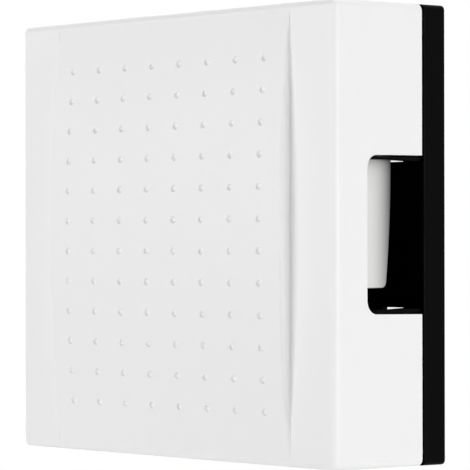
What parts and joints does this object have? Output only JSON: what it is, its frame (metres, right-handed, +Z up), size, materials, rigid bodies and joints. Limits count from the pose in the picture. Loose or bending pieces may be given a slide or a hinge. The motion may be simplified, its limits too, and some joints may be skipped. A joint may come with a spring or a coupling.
{
  "type": "doorbell chime box",
  "caption": "Square wall-mounted two-tone door chime: a white cover with a dimpled arched front and side sound windows on a black base, with steel tone plates, a solenoid and a sprung striker.",
  "frame": {"origin": "centre of the wall face of the base", "axes": "+X to the right seen from the room, +Y into the wall, +Z up"},
  "size_m": [0.1404, 0.0536, 0.1404],
  "materials": {
    "cover_plastic": "satin moulded, fine grain",
    "base_plastic": "satin moulded",
    "plate_steel": "satin plated, slightly mottled",
    "zinc_steel": "bright zinc plated",
    "plunger_steel": "ground",
    "spring_steel": "drawn wire",
    "copper_wire": "enamelled copper",
    "coil_tape": "varnished tape",
    "natural_nylon": "satin",
    "striker_nylon": "satin",
    "block_plastic": "satin moulded",
    "terminal_brass": "tumbled",
    "black_rubber": "matt",
    "red_insulation": "soft vinyl",
    "blue_insulation": "soft vinyl"
  },
  "bodies": {
    "base": {"base": "base_plastic", "tone_plate_right": "plate_steel", "tone_plate_left": "plate_steel", "plate_grommets": "black_rubber", "plate_sleeves": "zinc_steel", "plate_washers": "zinc_steel", "plate_screws": "zinc_steel", "coil_bobbin": "natural_nylon", "coil_winding": "copper_wire", "coil_tape": "coil_tape", "coil_pins": "terminal_brass", "yoke_frame": "zinc_steel", "yoke_screws": "zinc_steel", "guide_bush_left": "natural_nylon", "guide_bush_right": "natural_nylon", "return_spring": "spring_steel", "terminal_block": "block_plastic", "terminal_clamps": "terminal_brass", "terminal_screws": "zinc_steel", "terminal_ear_screws": "zinc_steel", "lead_wire_front": "red_insulation", "lead_wire_rear": "blue_insulation", "lead_sleeves": "black_rubber", "cable_grommet": "black_rubber"},
    "cover": {"cover": "cover_plastic"},
    "plunger": {"plunger_core": "plunger_steel", "striker_rod_left": "plunger_steel", "striker_rod_right": "plunger_steel", "striker_tip_left": "striker_nylon", "striker_tip_right": "striker_nylon", "spring_collar": "striker_nylon", "collar_clip": "plunger_steel"}
  },
  "joints": [
    {"name": "cover_pull", "type": "slide", "parent": "base", "child": "cover", "axis": [0, -1, 0], "range_m": [0, 0.06]},
    {"name": "plunger_slide", "type": "slide", "parent": "base", "child": "plunger", "axis": [1, 0, 0], "range_m": [-0.0027, 0.0077], "stiffness_N_per_m": 40, "deforming": ["return_spring"]}
  ]
}
